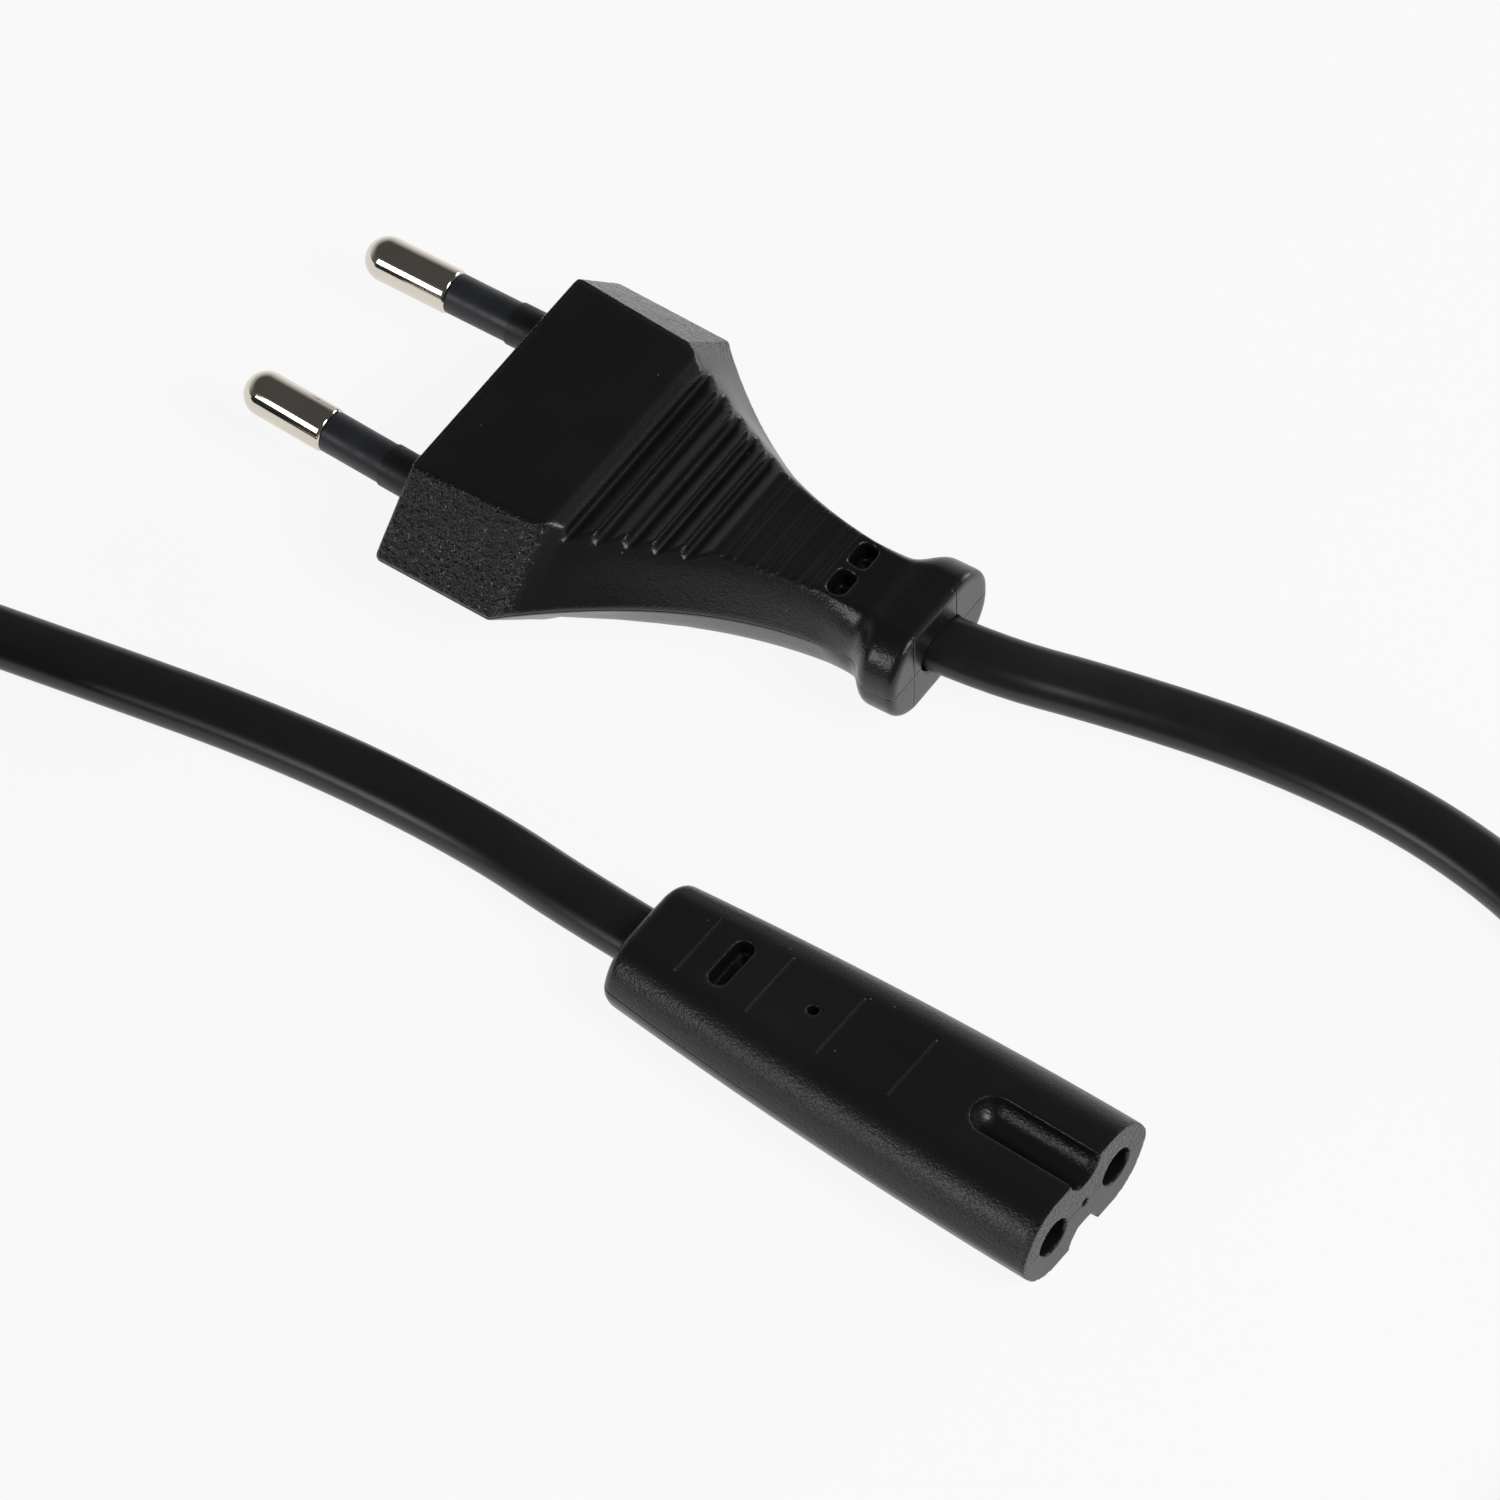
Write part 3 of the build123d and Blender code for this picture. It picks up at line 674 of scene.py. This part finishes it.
class LEAD_OT_hard_parts(bpy.types.Operator):
    """Finishes for the pins, their sleeves, the bridge, the carrier, the contacts and the cores"""

    bl_idname = "lead.hard_parts"
    bl_label = "Pins and inner parts"

    def execute(self, context):
        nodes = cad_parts
        looks = context.scene.lead_looks
        plating = nickel_plate()
        for side in ("near", "far"):
            pin = pin_metal(f"pin_{side}", f"pin_metal_{side}")
            only_material(pin, plating)
            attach(pin, "root")
            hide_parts(f"pin_{side}")
        finishes = {
            satin_plastic("rigid_pvc_sleeve", looks.sleeve, 0.4): [
                "pin_sleeve_near", "pin_sleeve_far"],
            satin_plastic("moulded_pbt", "#1c1c1f", 0.45): ["plug_bridge", "connector_carrier"],
            plain_metal("rolled_brass", "#c9a25a", 0.3): ["contact_near", "contact_far"],
            plain_metal("drawn_copper", "#c8744a", 0.35): [
                "plug_strands_blue", "plug_strands_brown",
                "connector_strands_blue", "connector_strands_brown"],
            satin_plastic("pvc_core_blue", "#2c5ea8", 0.4): [
                "plug_core_blue", "connector_core_blue"],
            satin_plastic("pvc_core_brown", "#5c3a24", 0.4): [
                "plug_core_brown", "connector_core_brown"],
            satin_plastic("vinyl_tie", "#202022", 0.5): ["cord_tie"],
        }
        for material, names in finishes.items():
            for name in names:
                only_material(nodes[name], material)
        return {"FINISHED"}


class LEAD_OT_cord(bpy.types.Operator):
    """Flat two-core cord from the plug, through its tied hank, to the connector"""

    bl_idname = "lead.cord"
    bl_label = "Cord and hank"

    def execute(self, context):
        sizes = context.scene.lead_sizes
        line = spline_line(cord_route(sizes), "cord_line")
        cord = flat_tube("cord_sheath", line, sizes.cord_width, sizes.cord_thickness)
        only_material(cord, extruded_pvc(context.scene.lead_looks))
        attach(cord, "root")
        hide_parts("cord_plug_side", "cord_connector_side", "cord_hank")
        return {"FINISHED"}


class LEAD_OT_stage(bpy.types.Operator):
    """White floor, soft studio light and the camera at the photograph's viewing angle"""

    bl_idname = "lead.stage"
    bl_label = "Stage"

    def execute(self, context):
        bpy.ops.object.select_all(action="DESELECT")
        bpy.ops.mesh.primitive_plane_add(size=6.0, location=(0, 0, -0.02 * mm))
        floor = bpy.context.object
        floor.name = "floor"
        only_material(floor, white_floor())
        # the room is dim all round, with a pale wall low behind the object, which the pins show
        world = bpy.data.worlds.new("studio")
        context.scene.world = world
        world.use_nodes = True
        tree = world.node_tree
        tree.nodes.clear()
        way = add_node(tree, "ShaderNodeSeparateXYZ", links={
            "Vector": add_node(tree, "ShaderNodeTexCoord").outputs["Generated"]})
        low = add_node(tree, "ShaderNodeMapRange", {
            "interpolation_type": "SMOOTHSTEP", "From Min": 0.1, "From Max": 0.6, "To Min": 0.55,
            "To Max": 0.0}, {"Value": way.outputs["Z"]})
        behind = add_node(tree, "ShaderNodeMapRange", {
            "interpolation_type": "SMOOTHSTEP", "From Min": -0.1, "From Max": 0.6, "To Min": 0.1,
            "To Max": 1.0}, {"Value": way.outputs["Y"]})
        wall = add_node(tree, "ShaderNodeMath", {"operation": "MULTIPLY"},
                        {0: low.outputs["Result"], 1: behind.outputs["Result"]})
        bright = add_node(tree, "ShaderNodeMath", {"operation": "ADD", 1: 0.08},
                          {0: wall.outputs[0]})
        room = add_node(tree, "ShaderNodeBackground", {"Color": linear("#ffffff")},
                        {"Strength": bright.outputs[0]})
        add_node(tree, "ShaderNodeOutputWorld", links={"Surface": room.outputs[0]})
        # the camera looks down at 53 degrees, on the point of the floor in the picture's middle
        target = Vector((5.304, 3.269, 0.0)) * mm
        place_light("softbox_left", Vector((-0.78, -0.52, 0.4)), target, (0.3, 0.36), 1.6)
        place_light("softbox_right", Vector((0.75, -0.62, 0.95)), target, (0.6, 0.6), 8.5)
        place_light("softbox_back", Vector((0.9, 0.65, 0.33)), target, (0.6, 0.4), 3.4)
        camera = bpy.data.cameras.new("camera")
        camera.lens = 290.7
        camera.sensor_width = 36.0
        camera.clip_start = 0.05
        holder = bpy.data.objects.new("camera", camera)
        context.scene.collection.objects.link(holder)
        holder.location = target + Vector((0, -0.6016, 0.7989))
        holder.rotation_euler = (target - holder.location).to_track_quat("-Z", "Y").to_euler()
        context.scene.camera = holder
        context.scene.view_settings.view_transform = "Standard"
        return {"FINISHED"}


class LEAD_PT_panel(bpy.types.Panel):
    """Lists the lead's pieces in the sidebar"""

    bl_idname = "LEAD_PT_panel"
    bl_label = "Mains lead"
    bl_space_type = "VIEW_3D"
    bl_region_type = "UI"
    bl_category = "Mains lead"

    def draw(self, context):
        for group in (context.scene.lead_sizes, context.scene.lead_looks):
            for key in group.__annotations__:
                self.layout.prop(group, key)
        for step in steps:
            self.layout.operator(step.bl_idname)


steps = [LEAD_OT_plug, LEAD_OT_connector, LEAD_OT_hard_parts, LEAD_OT_cord, LEAD_OT_stage]
classes = [LeadSizes, LeadLooks, *steps, LEAD_PT_panel]


def register():
    for item in classes:
        bpy.utils.register_class(item)
    bpy.types.Scene.lead_sizes = PointerProperty(type=LeadSizes)
    bpy.types.Scene.lead_looks = PointerProperty(type=LeadLooks)


def unregister():
    del bpy.types.Scene.lead_looks
    del bpy.types.Scene.lead_sizes
    for item in reversed(classes):
        bpy.utils.unregister_class(item)


def main():
    register()
    bpy.ops.lead.plug()
    bpy.ops.lead.connector()
    bpy.ops.lead.hard_parts()
    bpy.ops.lead.cord()
    bpy.ops.lead.stage()


if __name__ == "__main__":
    main()
